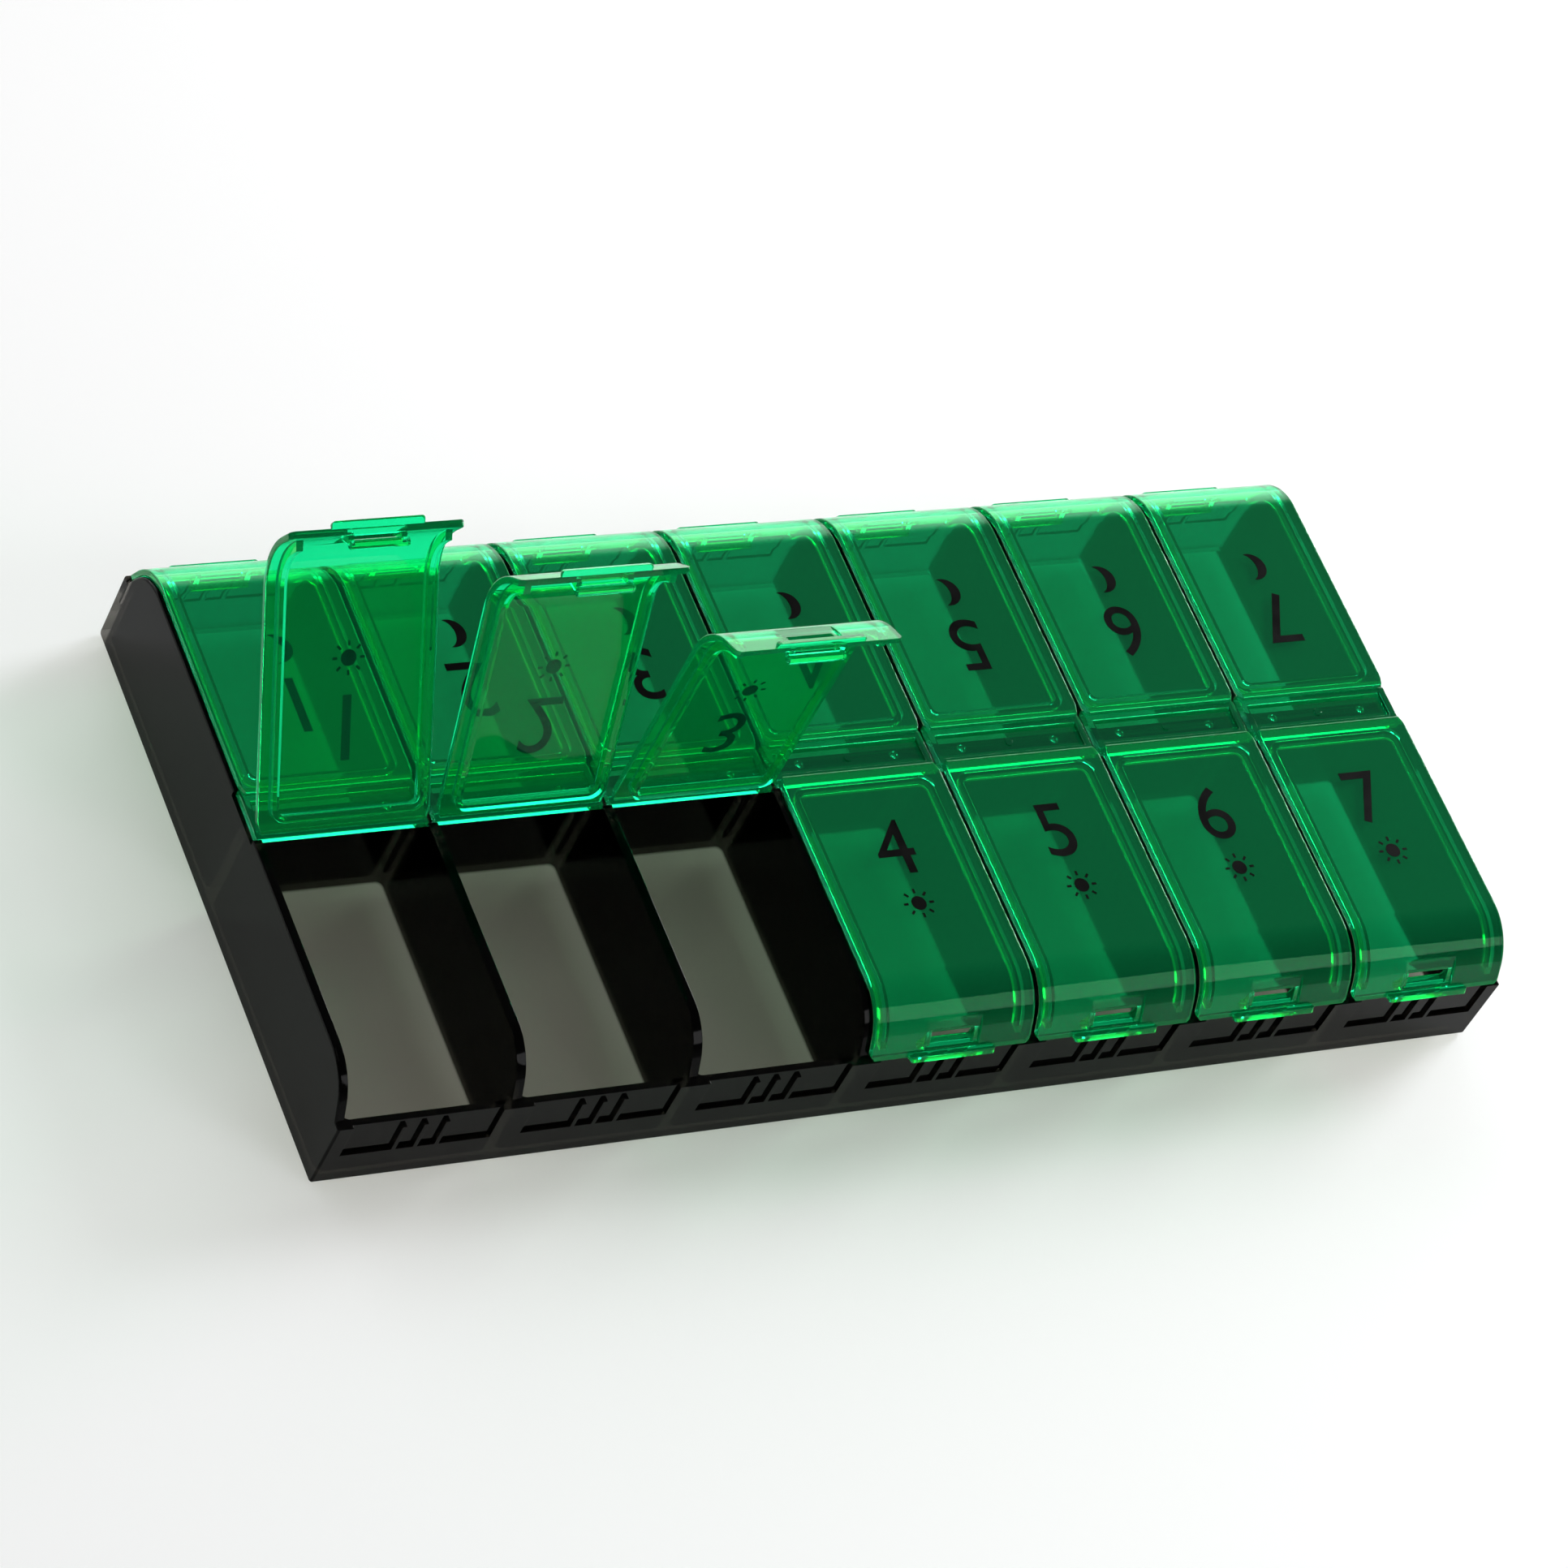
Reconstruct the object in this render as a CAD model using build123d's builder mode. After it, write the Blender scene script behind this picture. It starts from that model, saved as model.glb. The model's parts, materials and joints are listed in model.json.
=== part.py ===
from build123d import *
import os
from math import cos, pi, radians, sin, tan

# Weekly pill organizer: a smoke tray with two rows of seven compartments, and a clear lid on each.
# Millimetres. X runs along the week, Y from the front row to the back row, Z is up.
# The origin is the middle of the tray's underside, and the front row is at the low end of Y.

# Columns of the week
day_count = 7
day_pitch = 31.0

# Tray: floor, walls, end panels and partitions
tray_depth = 107.0
wall_height = 14.8
panel_height = 22.8
floor_thickness = 1.6
wall_thickness = 1.8
end_panel_thickness = 1.5
partition_thickness = 1.7
middle_wall_thickness = 2.6
pocket_corner_radius = 1.2
foot_edge_radius = 0.8
ledge_width = 1.45
panel_lean_angle = 25.0
panel_corner_radius = 9.0
corner_fit_share = 0.9
panel_edge_radius = 0.4

# Thumb grips: a shallow recess with three ribs under each lid's tab
grip_width = 25.6
grip_height = 7.5
grip_depth = 0.6
grip_rib_count = 3
grip_rib_pitch = 3.7
grip_rib_width = 0.8
grip_rib_height = 6.1

# Lids: a bent plate with a locating rib underneath
lid_thickness = 1.1
lid_gap = 1.3
lid_seat_clearance = 0.1
lid_edge_radius = 0.25
lid_corner_chamfer = 0.7
lid_hinge_corner_width = 0.7
lid_hinge_corner_length = 1.6
rib_inset = 1.6
rib_width = 1.2
rib_height = 1.6
rib_corner_radius = 2.4
rib_end_height = 1.3

# Lift tab on the outside of a lid's lower edge
tab_width = 15.8
tab_height = 1.1
tab_reach = 1.0
tab_corner_radius = 0.6

# Snap latch on the inside of a lid's lower edge: a bar between two gussets, and a slot above it
latch_width = 10.0
latch_bar_depth = 1.4
latch_bar_height = 1.4
latch_bar_radius = 0.4
latch_bar_drop = 0.9
latch_wall_clearance = 0.35
gusset_thickness = 1.0
gusset_height = 4.0
gusset_clearance = 0.25
slot_height = 2.4
thumb_flat_depth = 0.4
thumb_flat_height = 5.9

# Hinges: a round bead on each lid turns in a seat of the strip that lies on the middle wall
hinge_offset = 3.75
hinge_clearance = 0.05
seat_lip_angle = 40.0
strip_thickness = 1.2
strip_shoulder = 0.9
strip_land_width = 0.9
trough_depth = 0.7
trough_side_width = 0.45
strip_end_rib = 1.2
strip_notch_clearance = 0.1
strip_peg_radius = 0.7
strip_peg_length = 2.5
strip_peg_pitch = 18.0
strip_peg_clearance = 0.05
gate_mark_radius = 0.7
gate_mark_height = 0.25

# How far the front lids of the first days stand open, in degrees; the other lids are shut
front_open_angles = {0: 128.5, 1: 108.5, 2: 89.5}

# Cuts run past the faces that they open
overrun = 2.0

# Places worked out from the sizes above
tray_length = day_count * day_pitch
lean = radians(panel_lean_angle)
ledge_y = -tray_depth / 2 + ledge_width
lid_width = day_pitch - lid_gap
hinge_z = panel_height + lid_seat_clearance + lid_thickness / 2
bead_radius = lid_thickness / 2
seat_radius = bead_radius + hinge_clearance
strip_shoulder_z = hinge_z - seat_radius
strip_bottom_z = strip_shoulder_z - strip_thickness
strip_half_width = hinge_offset + strip_shoulder
lid_bottom_z = wall_height + lid_seat_clearance
rib_push = lid_seat_clearance - rib_height
rib_low_z = wall_height + rib_end_height

# The locating rib has the tightest bend, so its leaning stretch limits the bend of panels and lids
rib_slope_length = (panel_height + rib_push - rib_low_z) / cos(lean)
rib_bend_limit = corner_fit_share * rib_slope_length / tan((pi / 2 - lean) / 2)
bend_radius = min(panel_corner_radius, rib_bend_limit - rib_push)
day_centres = [(day - (day_count - 1) / 2) * day_pitch for day in range(day_count)]

os.makedirs("parts", exist_ok=True)


def slope_y(push, height):
    """Y of the leaning front edge at a height, pushed outwards from the panels' own edge."""
    return ledge_y - push / cos(lean) + (height - wall_height) * tan(lean)


def cover_points(push, low):
    """The bent line of the front cover: from over the hinge, round the corner, down to a height."""
    top = panel_height + push
    return [(-hinge_offset, top), (slope_y(push, top), top), (slope_y(push, low), low)]


def pocket_limits(day):
    """The lowest and highest X of a day's compartments, between its two upright panels."""
    low = day_centres[day] - day_pitch / 2 + partition_thickness / 2
    high = day_centres[day] + day_pitch / 2 - partition_thickness / 2
    if day == 0:
        low = -tray_length / 2 + end_panel_thickness
    if day == day_count - 1:
        high = tray_length / 2 - end_panel_thickness
    return low, high


# Tray: one moulding, whose panels carry the bent outline of the lids
pocket_depth = tray_depth / 2 - wall_thickness - middle_wall_thickness / 2
pocket_y = middle_wall_thickness / 2 + pocket_depth / 2
rim_depth = wall_thickness + overrun + pocket_corner_radius
rim_y = tray_depth / 2 + overrun - rim_depth / 2
half_outline = [(-tray_depth / 2, 0), (-tray_depth / 2, wall_height), (ledge_y, wall_height)]
half_outline.append((slope_y(0, panel_height), panel_height))
panel_outline = half_outline + [(-y, z) for y, z in reversed(half_outline)]

with BuildPart() as base_tray:
    with BuildSketch(Plane.YZ.offset(-tray_length / 2)) as outline:
        with BuildLine():
            Polyline(*panel_outline, close=True)
        make_face()
        fillet(outline.vertices().group_by(Axis.Y)[-1], radius=bend_radius)
    extrude(amount=tray_length)
    fillet(base_tray.faces().sort_by(Axis.Z)[0].edges().filter_by(Axis.X), radius=foot_edge_radius)
    for end_face in (base_tray.faces().sort_by(Axis.X)[0], base_tray.faces().sort_by(Axis.X)[-1]):
        fillet(end_face.edges(), radius=panel_edge_radius)

    # Fourteen compartments
    with BuildSketch(Plane.XY.offset(floor_thickness)):
        for day in range(day_count):
            low_x, high_x = pocket_limits(day)
            with Locations(((low_x + high_x) / 2, -pocket_y), ((low_x + high_x) / 2, pocket_y)):
                RectangleRounded(high_x - low_x, pocket_depth, pocket_corner_radius)
    extrude(amount=panel_height, mode=Mode.SUBTRACT)

    # Above the front and back walls the space between the panels is open
    with BuildSketch(Plane.XY.offset(wall_height)):
        for day in range(day_count):
            low_x, high_x = pocket_limits(day)
            with Locations(((low_x + high_x) / 2, -rim_y), ((low_x + high_x) / 2, rim_y)):
                Rectangle(high_x - low_x, rim_depth)
    extrude(amount=panel_height, mode=Mode.SUBTRACT)

    # A trough across the panels and along the middle wall takes the hinge strips
    with BuildSketch(Plane.XY.offset(strip_bottom_z)):
        Rectangle(tray_length + overrun, 2 * (strip_half_width + strip_notch_clearance))
    extrude(amount=panel_height, mode=Mode.SUBTRACT)

    # Sockets in the middle wall for the strips' pegs
    with BuildSketch(Plane.XY.offset(strip_bottom_z)):
        for x in day_centres:
            with Locations((x, 0)):
                with GridLocations(strip_peg_pitch, 0, 2, 1):
                    Circle(strip_peg_radius + strip_peg_clearance)
    extrude(amount=-strip_peg_length - strip_peg_clearance, mode=Mode.SUBTRACT)

    # Thumb grips in the outer faces of the front and back walls
    for side in (-1, 1):
        face_origin = (0, side * tray_depth / 2, wall_height - grip_height / 2)
        with BuildSketch(Plane(origin=face_origin, x_dir=(-side, 0, 0), z_dir=(0, side, 0))):
            for x in day_centres:
                with Locations((x, 0)):
                    Rectangle(grip_width, grip_height)
                with Locations((x, (grip_rib_height - grip_height) / 2)):
                    with GridLocations(grip_rib_pitch, 0, grip_rib_count, 1):
                        Rectangle(grip_rib_width, grip_rib_height, mode=Mode.SUBTRACT)
        extrude(amount=-grip_depth, mode=Mode.SUBTRACT)

base_tray.part.label = "base_tray"
export_step(base_tray.part, "parts/base_tray.step")


def hinge_strip(name, centre_x):
    """A strip that lies on the middle wall between two panels and carries one day's two hinges."""
    lip_angle = radians(seat_lip_angle)
    lip_y = hinge_offset - seat_radius * cos(lip_angle)
    lip_z = hinge_z - seat_radius * sin(lip_angle)
    mid_angle = (pi / 2 + lip_angle) / 2
    mid_y = hinge_offset - seat_radius * cos(mid_angle)
    mid_z = hinge_z - seat_radius * sin(mid_angle)
    land_y = lip_y - strip_land_width
    trough_z = lip_z - trough_depth
    with BuildPart() as strip:
        with BuildSketch(Plane.YZ.offset(centre_x)):
            with BuildLine():
                Polyline((0, strip_bottom_z), (strip_half_width, strip_bottom_z),
                         (strip_half_width, strip_shoulder_z), (hinge_offset, strip_shoulder_z))
                ThreePointArc((hinge_offset, strip_shoulder_z), (mid_y, mid_z), (lip_y, lip_z))
                Polyline((lip_y, lip_z), (land_y, lip_z), (land_y - trough_side_width, trough_z),
                         (0, trough_z))
                Line((0, trough_z), (0, strip_bottom_z))
            make_face()
            mirror(about=Plane.YZ)
        extrude(amount=lid_width / 2, both=True)
        with BuildSketch(Plane.XY.offset(trough_z)):
            with Locations((centre_x, 0)):
                with GridLocations(lid_width - strip_end_rib, 0, 2, 1):
                    Rectangle(strip_end_rib, 2 * land_y)
        extrude(amount=trough_depth)
        with BuildSketch(Plane.XY.offset(trough_z)):
            with Locations((centre_x, 0)):
                Circle(gate_mark_radius)
        extrude(amount=gate_mark_height)
        with BuildSketch(Plane.XY.offset(strip_bottom_z)):
            with Locations((centre_x, 0)):
                with GridLocations(strip_peg_pitch, 0, 2, 1):
                    Circle(strip_peg_radius)
        extrude(amount=-strip_peg_length)
    strip.part.label = name
    export_step(strip.part, f"parts/{name}.step")


def lid_frame(centre_x, side, open_angle):
    """The plane that a lid is drawn on: the tray's own frame, turned about the lid's hinge."""
    hinge = Plane(origin=(centre_x, side * hinge_offset, hinge_z), x_dir=(-side, 0, 0), z_dir=(0, 0, 1))
    hinge = hinge.rotated((-open_angle, 0, 0))
    origin = hinge.from_local_coords((0, hinge_offset, -hinge_z))
    return Plane(origin=origin, x_dir=hinge.x_dir, z_dir=hinge.z_dir)


def lid(name, frame):
    """A bent clear lid with its locating rib, hinge bead, lift tab and snap latch."""
    section = Plane(origin=frame.origin, x_dir=frame.y_dir, z_dir=frame.x_dir)
    across = Axis(frame.origin, frame.x_dir)
    upwards = Axis(frame.origin, frame.z_dir)
    inner_push = lid_seat_clearance
    outer_push = lid_seat_clearance + lid_thickness
    core_push = lid_seat_clearance + lid_thickness / 2
    rib_far_y = -tray_depth / 2 - overrun
    rib_near_y = -hinge_offset - rib_inset
    rib_outer_width = lid_width - 2 * rib_inset
    with BuildPart() as cover:
        # Locating rib: a ring in plan, kept only where it lies under the bent plate
        with BuildSketch(frame):
            with Locations((0, (rib_far_y + rib_near_y) / 2)):
                RectangleRounded(rib_outer_width, rib_near_y - rib_far_y, rib_corner_radius)
                RectangleRounded(rib_outer_width - 2 * rib_width, rib_near_y - rib_far_y - 2 * rib_width,
                                 rib_corner_radius - rib_width, mode=Mode.SUBTRACT)
        extrude(amount=panel_height + outer_push)
        rib_points = cover_points(rib_push, rib_low_z)
        core_points = cover_points(core_push, rib_low_z)
        with BuildSketch(section):
            with BuildLine():
                FilletPolyline(*rib_points, radius=bend_radius + rib_push)
                FilletPolyline(*core_points, radius=bend_radius + core_push)
                Line(rib_points[0], core_points[0])
                Line(rib_points[2], core_points[2])
            make_face()
        extrude(amount=lid_width, both=True, mode=Mode.INTERSECT)

        # Bent plate, with the round bead along its hinge edge
        inner_points = cover_points(inner_push, lid_bottom_z)
        outer_points = cover_points(outer_push, lid_bottom_z)
        with BuildSketch(section):
            with BuildLine():
                FilletPolyline(*inner_points, radius=bend_radius + inner_push)
                FilletPolyline(*outer_points, radius=bend_radius + outer_push)
                ThreePointArc(inner_points[0], (bead_radius - hinge_offset, hinge_z), outer_points[0])
                Line(inner_points[2], outer_points[2])
            make_face()
        extrude(amount=lid_width / 2, both=True)
        lower_face = cover.faces().sort_by(upwards)[0]
        chamfer(lower_face.edges().filter_by(Axis(frame.origin, frame.y_dir)), length=lid_corner_chamfer)
        for end_face in (cover.faces().sort_by(across)[0], cover.faces().sort_by(across)[-1]):
            fillet(end_face.edges(), radius=lid_edge_radius)

        # The hinge edge is a little shorter than the lid
        corner_near = bead_radius - hinge_offset + overrun
        corner_far = -hinge_offset - lid_hinge_corner_length
        corner_slope = lid_hinge_corner_width / (lid_hinge_corner_length + bead_radius)
        for side in (-1, 1):
            edge_x = side * lid_width / 2
            cut_x = edge_x - side * corner_slope * (corner_near - corner_far)
            with BuildSketch(frame.offset(panel_height)):
                with BuildLine():
                    Polyline((edge_x, corner_far), (edge_x, corner_near), (cut_x, corner_near),
                             close=True)
                make_face()
            extrude(amount=lid_thickness + overrun, mode=Mode.SUBTRACT)

        # Lift tab: a small bar across the lower edge, square to the leaning stretch, with rounded ends
        tab_front = -tray_depth / 2 - tab_reach
        tab_back = slope_y(core_push, lid_bottom_z)
        tab_depth = (tab_back - tab_front) * cos(lean)
        tab_top_y = tab_front + tab_height * sin(lean)
        tab_top_z = lid_bottom_z + tab_height * cos(lean)
        with BuildSketch(section):
            with BuildLine():
                Polyline((tab_front, lid_bottom_z), (tab_top_y, tab_top_z),
                         (tab_top_y + tab_depth * cos(lean), tab_top_z - tab_depth * sin(lean)),
                         (tab_back, lid_bottom_z), close=True)
            make_face()
        extrude(amount=tab_width / 2, both=True)
        up_slope = Axis(frame.origin, frame.y_dir * sin(lean) + frame.z_dir * cos(lean))
        tab_ends = cover.edges(Select.LAST).filter_by(up_slope).sort_by(Axis(frame.origin, frame.y_dir))[:2]
        fillet(tab_ends, radius=tab_corner_radius)

        # Snap latch behind the wall: bar and gussets
        bar_y = -tray_depth / 2 + wall_thickness + latch_wall_clearance + latch_bar_depth / 2
        bar_z = wall_height - latch_bar_drop + latch_bar_height / 2
        with BuildSketch(section):
            with Locations((bar_y, bar_z)):
                RectangleRounded(latch_bar_depth, latch_bar_height, latch_bar_radius)
        extrude(amount=latch_width / 2, both=True)
        gusset_low = wall_height + gusset_clearance
        gusset_high = gusset_low + gusset_height
        gusset_tip = bar_y + latch_bar_depth / 2 - latch_bar_radius
        for gusset_x in (gusset_thickness / 2 - latch_width / 2, latch_width / 2 - gusset_thickness / 2):
            with BuildSketch(section.offset(gusset_x)):
                with BuildLine():
                    Polyline((slope_y(core_push, gusset_low), gusset_low), (gusset_tip, gusset_low),
                             (slope_y(core_push, gusset_high), gusset_high), close=True)
                make_face()
            extrude(amount=gusset_thickness / 2, both=True)

        # Shallow thumb flat in the outer face, over the latch
        flat_low = tab_top_z
        flat_high = lid_bottom_z + thumb_flat_height
        flat_push = outer_push - thumb_flat_depth
        open_push = outer_push + overrun
        with BuildSketch(section):
            with BuildLine():
                Polyline((slope_y(flat_push, flat_low), flat_low),
                         (slope_y(flat_push, flat_high), flat_high),
                         (slope_y(open_push, flat_high), flat_high),
                         (slope_y(open_push, flat_low), flat_low), close=True)
            make_face()
        extrude(amount=latch_width / 2, both=True, mode=Mode.SUBTRACT)

        # Slot through the plate, above the tab and between the gussets
        slot_z = tab_top_z + slot_height / 2
        slot_front = slope_y(outer_push, slot_z) - overrun
        slot_back = slope_y(inner_push, slot_z) + overrun / 2
        with BuildSketch(frame.offset(slot_z)):
            with Locations((0, (slot_front + slot_back) / 2)):
                Rectangle(latch_width - 2 * gusset_thickness, slot_back - slot_front)
        extrude(amount=slot_height / 2, both=True, mode=Mode.SUBTRACT)
    cover.part.label = name
    export_step(cover.part, f"parts/{name}.step")


for day in range(day_count):
    centre = day_centres[day]
    hinge_strip(f"hinge_strip_{day + 1}", centre)
    lid(f"morning_lid_{day + 1}", lid_frame(centre, -1, front_open_angles.get(day, 0)))
    lid(f"evening_lid_{day + 1}", lid_frame(centre, 1, 0))
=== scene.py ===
import json
from math import pi, radians

import bmesh
import bpy
from mathutils import Matrix, Vector


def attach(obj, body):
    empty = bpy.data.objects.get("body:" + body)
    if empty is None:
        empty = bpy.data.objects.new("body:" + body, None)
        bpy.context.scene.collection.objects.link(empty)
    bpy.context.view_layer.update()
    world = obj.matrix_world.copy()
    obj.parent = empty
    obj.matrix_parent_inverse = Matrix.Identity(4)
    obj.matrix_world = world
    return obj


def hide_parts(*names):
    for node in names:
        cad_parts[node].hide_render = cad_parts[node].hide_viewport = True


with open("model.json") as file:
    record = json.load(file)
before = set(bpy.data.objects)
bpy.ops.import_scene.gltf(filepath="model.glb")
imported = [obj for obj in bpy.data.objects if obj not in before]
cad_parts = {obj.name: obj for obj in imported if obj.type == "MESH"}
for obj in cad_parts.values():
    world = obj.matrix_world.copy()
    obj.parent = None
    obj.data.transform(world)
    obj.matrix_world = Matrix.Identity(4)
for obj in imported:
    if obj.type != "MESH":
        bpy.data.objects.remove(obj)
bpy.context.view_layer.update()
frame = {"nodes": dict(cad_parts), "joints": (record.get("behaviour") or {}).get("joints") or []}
nodes = frame["nodes"]
scene = bpy.context.scene


# Tray: one injection moulding in smoke-black see-through plastic, which carries everything else.
# Its thin floor lets the table shine through. Its upright walls carry painted shade, a near-black tone, and
# its back wall carries painted light, a lighter tone than the other walls.
# Every edge has the small round that a mould leaves.
weld_distance = 0.000002
flat_angle = radians(0.5)
sharp_angle = radians(32)
round_segments = 2


def rounded_copy(node_name, piece_name, edge_radius):
    """A welded copy of a CAD node, with a moulded round on each of its outer edges."""
    shape = bmesh.new()
    shape.from_mesh(nodes[node_name].data)
    bmesh.ops.remove_doubles(shape, verts=shape.verts, dist=weld_distance)
    bmesh.ops.dissolve_limit(shape, angle_limit=flat_angle, verts=shape.verts, edges=shape.edges)
    sharp = [edge for edge in shape.edges if edge.is_convex and edge.calc_face_angle(0) > sharp_angle]
    bmesh.ops.bevel(shape, geom=sharp, offset=edge_radius, offset_type="OFFSET", segments=round_segments,
                    profile=0.5, affect="EDGES", material=-1, clamp_overlap=False)
    for face in shape.faces:
        face.smooth = True
    for edge in shape.edges:
        edge.smooth = edge.calc_face_angle(0) < sharp_angle
    mesh = bpy.data.meshes.new(piece_name)
    shape.to_mesh(mesh)
    shape.free()
    piece = bpy.data.objects.new(piece_name, mesh)
    scene.collection.objects.link(piece)
    piece.modifiers.new("flat_faces", "WEIGHTED_NORMAL").keep_sharp = True
    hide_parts(node_name)
    return piece


def moulded_surface():
    """Shader group: the slow ripple, uneven gloss and flow of tone of a moulding, from its own place."""
    ripple_detail = 1.5
    smear_scale = 240.0
    smear_detail = 4.0
    smear_low = 0.35
    smear_high = 0.75
    flow_scale = 28.0
    flow_detail = 2.0
    group = bpy.data.node_groups.new("moulded_surface", "ShaderNodeTree")
    sockets = group.interface
    for name in ("Ripple Scale", "Low Roughness", "High Roughness"):
        sockets.new_socket(name, in_out="INPUT", socket_type="NodeSocketFloat")
    for name in ("Roughness", "Height", "Flow"):
        sockets.new_socket(name, in_out="OUTPUT", socket_type="NodeSocketFloat")
    inputs = group.nodes.new("NodeGroupInput")
    outputs = group.nodes.new("NodeGroupOutput")
    place = group.nodes.new("ShaderNodeTexCoord")
    ripple = group.nodes.new("ShaderNodeTexNoise")
    ripple.inputs["Detail"].default_value = ripple_detail
    smear = group.nodes.new("ShaderNodeTexNoise")
    smear.inputs["Scale"].default_value = smear_scale
    smear.inputs["Detail"].default_value = smear_detail
    gloss = group.nodes.new("ShaderNodeMapRange")
    gloss.inputs["From Min"].default_value = smear_low
    gloss.inputs["From Max"].default_value = smear_high
    flow = group.nodes.new("ShaderNodeTexNoise")
    flow.inputs["Scale"].default_value = flow_scale
    flow.inputs["Detail"].default_value = flow_detail
    link = group.links.new
    for noise in (ripple, smear, flow):
        link(place.outputs["Object"], noise.inputs["Vector"])
    link(inputs.outputs["Ripple Scale"], ripple.inputs["Scale"])
    link(smear.outputs["Fac"], gloss.inputs["Value"])
    link(inputs.outputs["Low Roughness"], gloss.inputs["To Min"])
    link(inputs.outputs["High Roughness"], gloss.inputs["To Max"])
    link(gloss.outputs["Result"], outputs.inputs["Roughness"])
    link(ripple.outputs["Fac"], outputs.inputs["Height"])
    link(flow.outputs["Fac"], outputs.inputs["Flow"])
    return group


surface_group = moulded_surface()


def moulded_material(name, ripple_scale, ripple_height, low_roughness, high_roughness):
    """A material with a moulding's ripple and uneven gloss, with its shader and its slow flow of tone."""
    material = bpy.data.materials.new(name)
    material.use_nodes = True
    tree = material.node_tree
    shader = tree.nodes["Principled BSDF"]
    surface = tree.nodes.new("ShaderNodeGroup")
    surface.node_tree = surface_group
    surface.inputs["Ripple Scale"].default_value = ripple_scale
    surface.inputs["Low Roughness"].default_value = low_roughness
    surface.inputs["High Roughness"].default_value = high_roughness
    bump = tree.nodes.new("ShaderNodeBump")
    bump.inputs["Distance"].default_value = ripple_height
    link = tree.links.new
    link(surface.outputs["Roughness"], shader.inputs["Roughness"])
    link(surface.outputs["Height"], bump.inputs["Height"])
    link(bump.outputs["Normal"], shader.inputs["Normal"])
    return material, shader, surface.outputs["Flow"]


def let_light_through(material, shadow_tint):
    """Lets tinted light pass a clear plastic and reach what lies behind it."""
    tree = material.node_tree
    rays = tree.nodes.new("ShaderNodeLightPath")
    lets_light = tree.nodes.new("ShaderNodeMath")
    lets_light.operation = "MAXIMUM"
    through = tree.nodes.new("ShaderNodeBsdfTransparent")
    through.inputs["Color"].default_value = shadow_tint
    mix = tree.nodes.new("ShaderNodeMixShader")
    link = tree.links.new
    link(rays.outputs["Is Shadow Ray"], lets_light.inputs[0])
    link(rays.outputs["Is Diffuse Ray"], lets_light.inputs[1])
    link(lets_light.outputs["Value"], mix.inputs["Fac"])
    link(tree.nodes["Principled BSDF"].outputs["BSDF"], mix.inputs[1])
    link(through.outputs["BSDF"], mix.inputs[2])
    link(mix.outputs["Shader"], tree.nodes["Material Output"].inputs["Surface"])


def blended_tones(material, first_tone, second_tone, mask):
    """A colour that goes from a tone, or from an earlier blend, to a second tone by a mask."""
    tones = material.node_tree.nodes.new("ShaderNodeMix")
    tones.data_type = "RGBA"
    link = material.node_tree.links.new
    if isinstance(first_tone, tuple):
        tones.inputs["A"].default_value = first_tone
    else:
        link(first_tone, tones.inputs["A"])
    tones.inputs["B"].default_value = second_tone
    link(mask, tones.inputs["Factor"])
    return tones.outputs["Result"]


tray_edge_radius = 0.0001
floor_thickness = 0.0016
floor_blend = 0.0008
end_panel_shade = 0.0025
wall_shade = 0.0027
wall_blend = 0.0005
smoke_refraction = 1.16
# Painted shade: the upright walls, partitions and end panels get a near-black tone.
painted_wall_shade_colour = (0.0016, 0.0013, 0.0010, 1)
smoke_floor_colour = (0.29, 0.28, 0.26, 1)
smoke_floor_drift = (0.33, 0.32, 0.295, 1)
# Painted light: the back wall gets a lighter tone than the other walls.
painted_back_light_colour = (0.13, 0.12, 0.11, 1)
tray_points = nodes["base_tray"].data.vertices
end_panel_inside = max(point.co.x for point in tray_points) - end_panel_shade
wall_inside = max(point.co.y for point in tray_points) - wall_shade

smoke, smoke_shader, smoke_flow = moulded_material(
    "smoke_plastic", ripple_scale=70, ripple_height=0.000004, low_roughness=0.05, high_roughness=0.12)
let_light_through(smoke, shadow_tint=(0.80, 0.79, 0.77, 1))
smoke_shader.inputs["Transmission Weight"].default_value = 1.0
smoke_shader.inputs["IOR"].default_value = smoke_refraction
smoke_nodes = smoke.node_tree.nodes
smoke_link = smoke.node_tree.links.new
tray_place = smoke_nodes.new("ShaderNodeTexCoord")
tray_axes = smoke_nodes.new("ShaderNodeSeparateXYZ")
smoke_link(tray_place.outputs["Object"], tray_axes.inputs["Vector"])


def smoke_math(operation, *values):
    """What a Math node of the smoke plastic makes of its values."""
    step = smoke_nodes.new("ShaderNodeMath")
    step.operation = operation
    for value, socket in zip(values, step.inputs):
        smoke_link(value, socket)
    return step.outputs["Value"]


def smoke_mask(value, start, blend):
    """A mask of the smoke plastic that rises from none to full as a value passes a start."""
    rise = smoke_nodes.new("ShaderNodeMapRange")
    rise.inputs["From Min"].default_value = start
    rise.inputs["From Max"].default_value = start + blend
    smoke_link(value, rise.inputs["Value"])
    return rise.outputs["Result"]


end_mask = smoke_mask(smoke_math("ABSOLUTE", tray_axes.outputs["X"]), end_panel_inside, wall_blend)
side_mask = smoke_mask(smoke_math("ABSOLUTE", tray_axes.outputs["Y"]), wall_inside, wall_blend)
upright_mask = smoke_mask(tray_axes.outputs["Z"], floor_thickness, floor_blend)
# The upright parts of the tray take the painted shade.
painted_wall_shade_mask = smoke_math("MAXIMUM", smoke_math("MAXIMUM", end_mask, side_mask), upright_mask)
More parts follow.
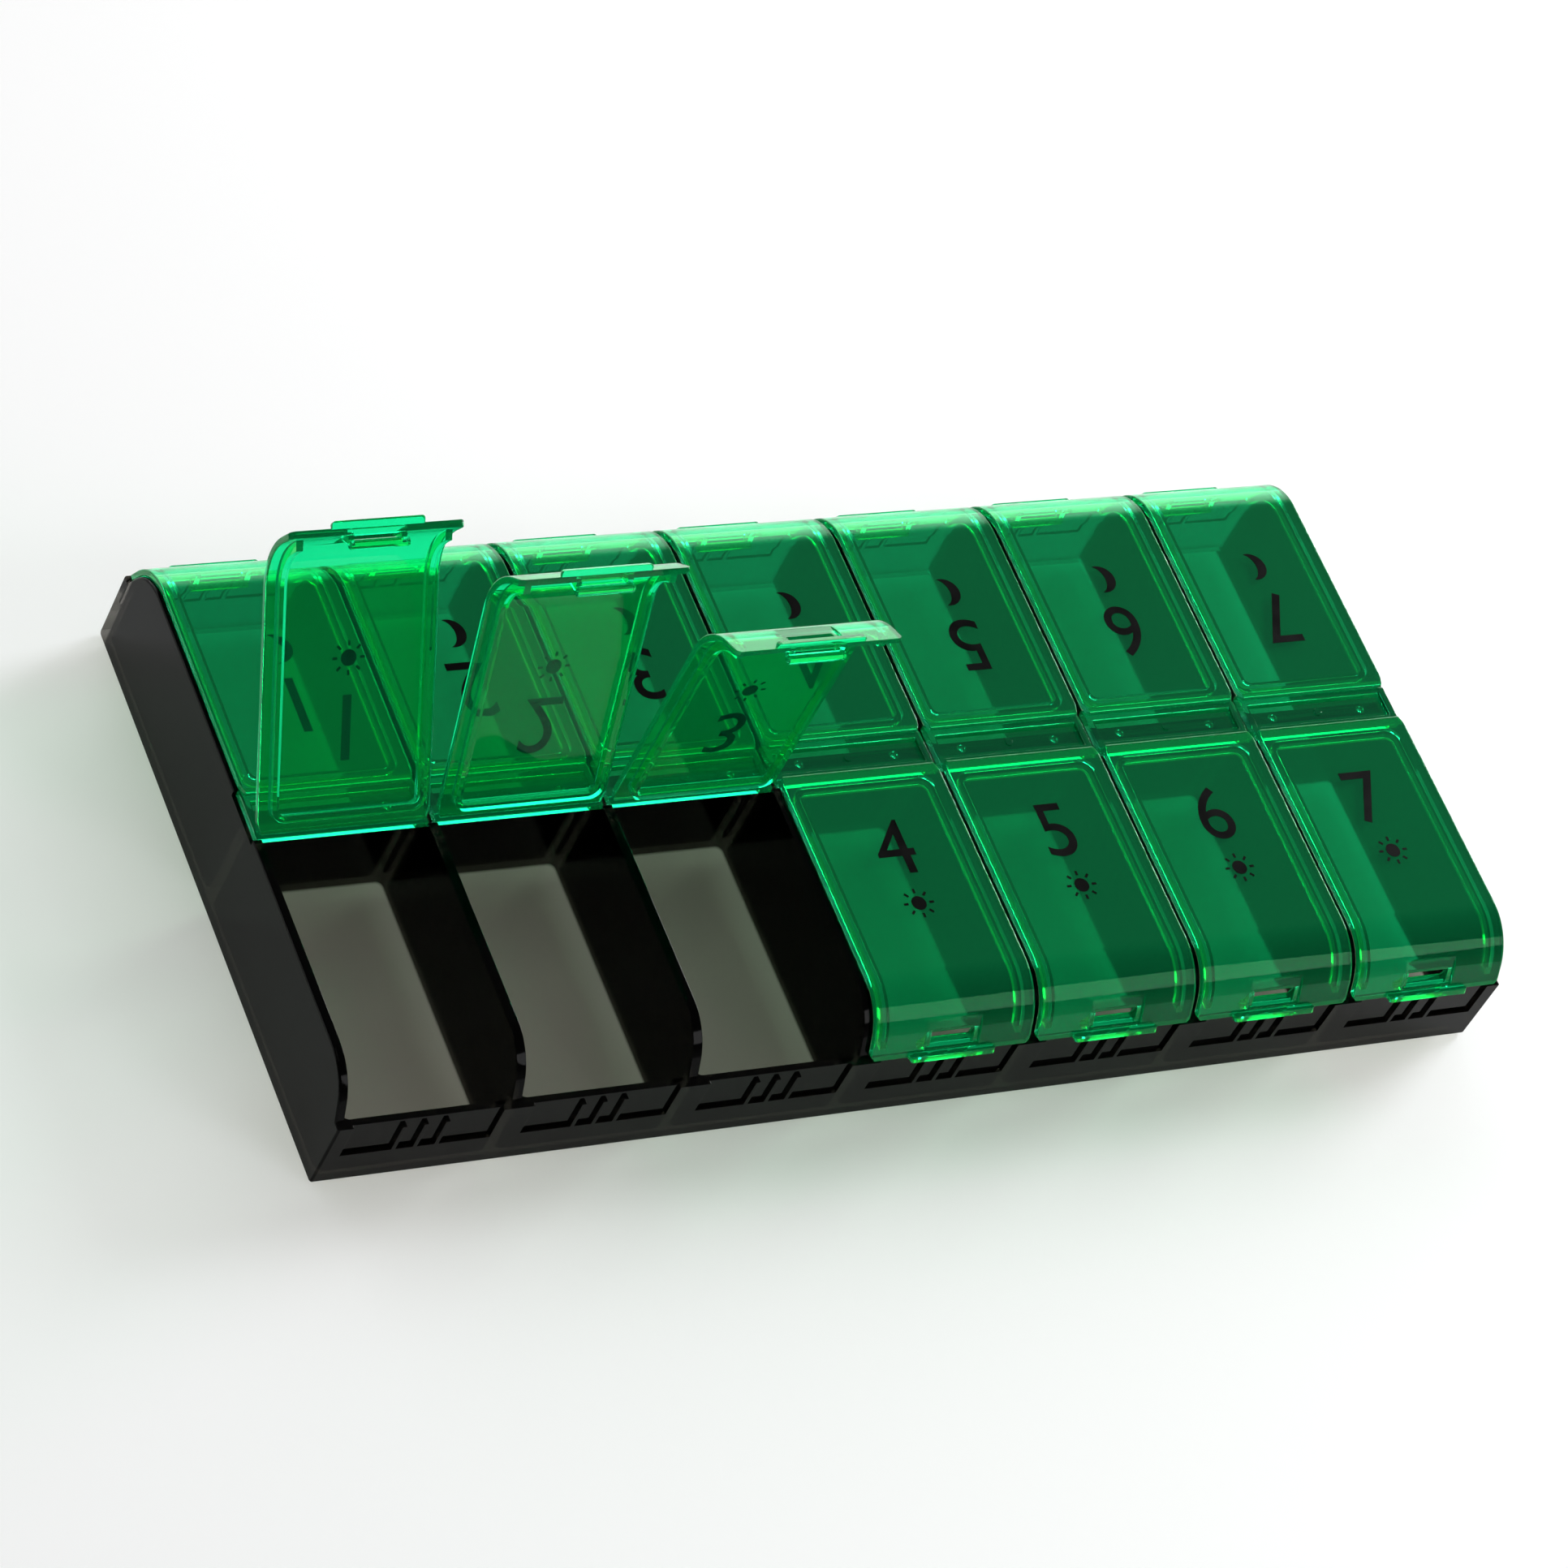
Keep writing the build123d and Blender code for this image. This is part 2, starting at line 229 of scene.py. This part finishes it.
# The back wall takes the painted light, over the painted shade.
painted_back_light_mask = smoke_mask(tray_axes.outputs["Y"], wall_inside, wall_blend)
floor_tones = blended_tones(smoke, smoke_floor_colour, smoke_floor_drift, smoke_flow)
tones_with_painted_wall_shade = blended_tones(smoke, floor_tones, painted_wall_shade_colour, painted_wall_shade_mask)
tray_tones_with_painted_light = blended_tones(smoke, tones_with_painted_wall_shade, painted_back_light_colour, painted_back_light_mask)
smoke_link(tray_tones_with_painted_light, smoke_shader.inputs["Base Color"])

tray = rounded_copy("base_tray", "smoke_tray", tray_edge_radius)
tray.data.materials.append(smoke)
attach(tray, "tray")


# Hinge strips: seven narrow channels of clear green plastic, fixed on the middle wall, one for each day.
# Each carries the seats of its two lids, and lies between the tray's upright panels.
days = range(1, 8)
strip_edge_radius = 0.00005
green_refraction = 1.5
green_clearness = 0.95
green_colour = (0.007, 0.86, 0.32, 1)
green_drift = (0.011, 0.92, 0.36, 1)
green_mirror_tint = (0.09, 0.22, 0.12, 1)

green, green_shader, green_flow = moulded_material(
    "clear_green_plastic", ripple_scale=55, ripple_height=0.000004, low_roughness=0.01, high_roughness=0.03)
let_light_through(green, shadow_tint=(0.80, 0.95, 0.85, 1))
green_shader.inputs["Transmission Weight"].default_value = green_clearness
green_shader.inputs["IOR"].default_value = green_refraction
green_shader.inputs["Specular Tint"].default_value = green_mirror_tint
green_tones = blended_tones(green, green_colour, green_drift, green_flow)
green.node_tree.links.new(green_tones, green_shader.inputs["Base Color"])

for day in days:
    strip = rounded_copy(f"hinge_strip_{day}", f"green_strip_{day}", strip_edge_radius)
    strip.data.materials.append(green)
    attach(strip, "tray")


# Lids: fourteen bent covers of the same clear green plastic, polished on both faces.
# Each has a locating rib round its underside, a lift tab and a snap latch at its lower edge.
lid_edge_radius = 0.0001
lid_names = [f"{row}_lid_{day}" for row in ("morning", "evening") for day in days]

for lid_name in lid_names:
    lid = rounded_copy(lid_name, f"green_{lid_name}", lid_edge_radius)
    lid.data.materials.append(green)
    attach(lid, lid_name)


# Printed marks: black ink on the outer face of each lid, a number for the day and a sun or a moon.
# They read from the front on the morning row and from the back on the evening row.
number_height = 0.0105
mark_height = 0.0056
number_place = 0.0192
mark_place = 0.03035
ink_thickness = 0.00004
sun_ray_count = 8
sun_disc_radius = 0.24 * mark_height
sun_ray_length = 0.15 * mark_height
sun_ray_width = sun_ray_length / 2
sun_ray_place = (mark_height - sun_ray_length) / 2
moon_chord_place = 0.12 * mark_height
moon_fold = 0.75
sun_segments = 32
moon_segments = 48
ink_gloss = 0.02
ink_colour = (0.0005, 0.0006, 0.0005, 1)
ink_drift = (0.0012, 0.0014, 0.0012, 1)
lid_top = max(point.co.z for point in nodes["evening_lid_1"].data.vertices)

ink, ink_shader, ink_flow = moulded_material(
    "black_ink", ripple_scale=900, ripple_height=0.000003, low_roughness=0.3, high_roughness=0.45)
ink_shader.inputs["Specular IOR Level"].default_value = ink_gloss
ink_tones = blended_tones(ink, ink_colour, ink_drift, ink_flow)
ink.node_tree.links.new(ink_tones, ink_shader.inputs["Base Color"])


def number_shape(day):
    """A flat number, centred on its own middle and of the printed height."""
    curve = bpy.data.curves.new(f"number_{day}", "FONT")
    curve.body = day
    curve.align_x = "CENTER"
    curve.align_y = "CENTER"
    text = bpy.data.objects.new(f"number_{day}", curve)
    scene.collection.objects.link(text)
    bpy.context.view_layer.update()
    mesh = bpy.data.meshes.new_from_object(text)
    bpy.data.objects.remove(text)
    shape = bmesh.new()
    shape.from_mesh(mesh)
    low = min(point.co.y for point in shape.verts)
    high = max(point.co.y for point in shape.verts)
    left = min(point.co.x for point in shape.verts)
    right = max(point.co.x for point in shape.verts)
    bmesh.ops.translate(shape, verts=shape.verts, vec=(-(left + right) / 2, -(low + high) / 2, 0))
    bmesh.ops.scale(shape, verts=shape.verts, vec=Vector((1, 1, 1)) * number_height / (high - low))
    return shape


def sun_shape():
    """A small disc with rays round it."""
    shape = bmesh.new()
    bmesh.ops.create_circle(shape, cap_ends=True, segments=sun_segments, radius=sun_disc_radius)
    for ray in range(sun_ray_count):
        bar = bmesh.ops.create_grid(shape, x_segments=1, y_segments=1, size=sun_ray_length / 2)["verts"]
        bmesh.ops.scale(shape, verts=bar, vec=(1, sun_ray_width / sun_ray_length, 1))
        bmesh.ops.translate(shape, verts=bar, vec=(sun_ray_place, 0, 0))
        bmesh.ops.rotate(shape, verts=bar, matrix=Matrix.Rotation(ray * 2 * pi / sun_ray_count, 3, "Z"))
    return shape


def moon_shape():
    """A small crescent: a disc whose far side is folded back across a chord."""
    shape = bmesh.new()
    bmesh.ops.create_circle(shape, cap_ends=True, segments=moon_segments, radius=mark_height / 2)
    for point in shape.verts:
        if point.co.x > moon_chord_place:
            point.co.x = moon_chord_place - moon_fold * (point.co.x - moon_chord_place)
    return shape


for joint in frame["joints"]:
    lid_name = joint["child"]
    row, _, day = lid_name.split("_")
    hinge = Vector(joint["pos_m"])
    # The top of a front lid's range is how far it rests open, and every back lid rests shut.
    turn = radians(joint["range_deg"][1]) if row == "morning" else 0
    facing = 0 if row == "morning" else pi
    opened = Matrix.Translation(hinge) @ Matrix.Rotation(-turn, 4, "X") @ Matrix.Translation(-hinge)
    side = Matrix.Translation((hinge.x, 0, lid_top)) @ Matrix.Rotation(facing, 4, "Z")
    for kind, shape, place in (
        ("number", number_shape(day), number_place),
        ("mark", sun_shape() if row == "morning" else moon_shape(), mark_place),
    ):
        inked = bmesh.ops.extrude_face_region(shape, geom=shape.faces)["geom"]
        raised = [item for item in inked if isinstance(item, bmesh.types.BMVert)]
        bmesh.ops.translate(shape, verts=raised, vec=(0, 0, ink_thickness))
        bmesh.ops.recalc_face_normals(shape, faces=shape.faces)
        seat = opened @ side @ Matrix.Translation((0, -place, 0))
        bmesh.ops.transform(shape, matrix=seat, verts=shape.verts)
        mesh = bpy.data.meshes.new(f"ink_{kind}_{lid_name}")
        shape.to_mesh(mesh)
        shape.free()
        print_piece = bpy.data.objects.new(mesh.name, mesh)
        scene.collection.objects.link(print_piece)
        mesh.materials.append(ink)
        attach(print_piece, lid_name)


# Studio: a plain white table, a broad key light from behind on the right, one overhead, and two soft
# boxes in one place in front, which draw the pale line along the lids' bends. The room is dim but for
# a pale band low behind the object. The table is part of the stage and keeps the object's soft shadow.
table_half = 4.0
table_gap = 0.0002
table_roughness = 0.9
table_colour = (0.96, 0.96, 0.96, 1)
table_shape = bmesh.new()
bmesh.ops.create_grid(table_shape, x_segments=1, y_segments=1, size=table_half)
bmesh.ops.translate(table_shape, verts=table_shape.verts, vec=(0, 0, -table_gap))
table_mesh = bpy.data.meshes.new("table")
table_shape.to_mesh(table_mesh)
table_shape.free()
table = bpy.data.objects.new("table", table_mesh)
scene.collection.objects.link(table)
table_paint = bpy.data.materials.new("white_table")
table_paint.use_nodes = True
table_shader = table_paint.node_tree.nodes["Principled BSDF"]
table_shader.inputs["Base Color"].default_value = table_colour
table_shader.inputs["Roughness"].default_value = table_roughness
table_shader.inputs["Specular IOR Level"].default_value = 0.0
table_mesh.materials.append(table_paint)


def soft_light(name, place, size, power):
    """A square soft box that faces the middle of the table."""
    data = bpy.data.lights.new(name, "AREA")
    data.shape = "SQUARE"
    data.size = size
    data.energy = power
    lamp = bpy.data.objects.new(name, data)
    lamp.location = place
    lamp.rotation_euler = (Vector() - Vector(place)).to_track_quat("-Z", "Y").to_euler()
    scene.collection.objects.link(lamp)


bend_light_place = (0.69, -0.90, 0.81)
soft_light("key_light", place=(1.25, 0.5, 0.62), size=0.5, power=23.5)
soft_light("top_light", place=(0.0, 0.0, 1.4), size=0.6, power=1.6)
soft_light("curve_light_wide", place=bend_light_place, size=0.5, power=3.2)
soft_light("curve_light_middle", place=bend_light_place, size=0.28, power=1.1)

# The room's light changes along the arc overhead: 0 is level behind the object, 1 is level in front.
room_levels = ((0.0, 1.5), (0.15, 1.5), (0.24, 0.12), (0.45, 0.08), (0.86, 0.08), (1.0, 0.2))
room_strength = 2.0
world = bpy.data.worlds.new("strip_light_room")
world.use_nodes = True
room_nodes = world.node_tree.nodes
room = room_nodes["Background"]
room.inputs["Strength"].default_value = room_strength
room_way = room_nodes.new("ShaderNodeTexCoord")
room_axes = room_nodes.new("ShaderNodeSeparateXYZ")
room_angle = room_nodes.new("ShaderNodeMath")
room_angle.operation = "ARCTAN2"
room_share = room_nodes.new("ShaderNodeMath")
room_share.operation = "DIVIDE"
room_share.inputs[1].default_value = pi
room_ramp = room_nodes.new("ShaderNodeValToRGB")
room_ramp.color_ramp.interpolation = "EASE"
for share, level in room_levels:
    if share == 0.0:
        stop = room_ramp.color_ramp.elements[0]
    elif share == 1.0:
        stop = room_ramp.color_ramp.elements[-1]
    else:
        stop = room_ramp.color_ramp.elements.new(share)
    stop.color = (level, level, level, 1)
room_link = world.node_tree.links.new
room_link(room_way.outputs["Generated"], room_axes.inputs["Vector"])
room_link(room_axes.outputs["Z"], room_angle.inputs[0])
room_link(room_axes.outputs["Y"], room_angle.inputs[1])
room_link(room_angle.outputs["Value"], room_share.inputs[0])
room_link(room_share.outputs["Value"], room_ramp.inputs["Fac"])
room_link(room_ramp.outputs["Color"], room.inputs["Color"])
scene.world = world


# Camera: the photograph's own place, found by fitting it to the tray's corners and the lids' edges.
# A long lens looks down from the front left, well above the object, and is rolled.
camera_place = Vector((-0.50779, -0.48965, 0.75006))
camera_aim = Vector((-0.00645, 0.00311, 0.012))
camera_roll = radians(30.7055)
camera_data = bpy.data.cameras.new("camera")
camera_data.sensor_width = 36
camera_data.lens = 142.67
camera = bpy.data.objects.new("camera", camera_data)
camera_turn = (camera_aim - camera_place).to_track_quat("-Z", "Y").to_matrix().to_4x4()
camera.matrix_world = Matrix.Translation(camera_place) @ camera_turn @ Matrix.Rotation(camera_roll, 4, "Z")
scene.collection.objects.link(camera)
scene.camera = camera
scene.view_settings.view_transform = "Standard"
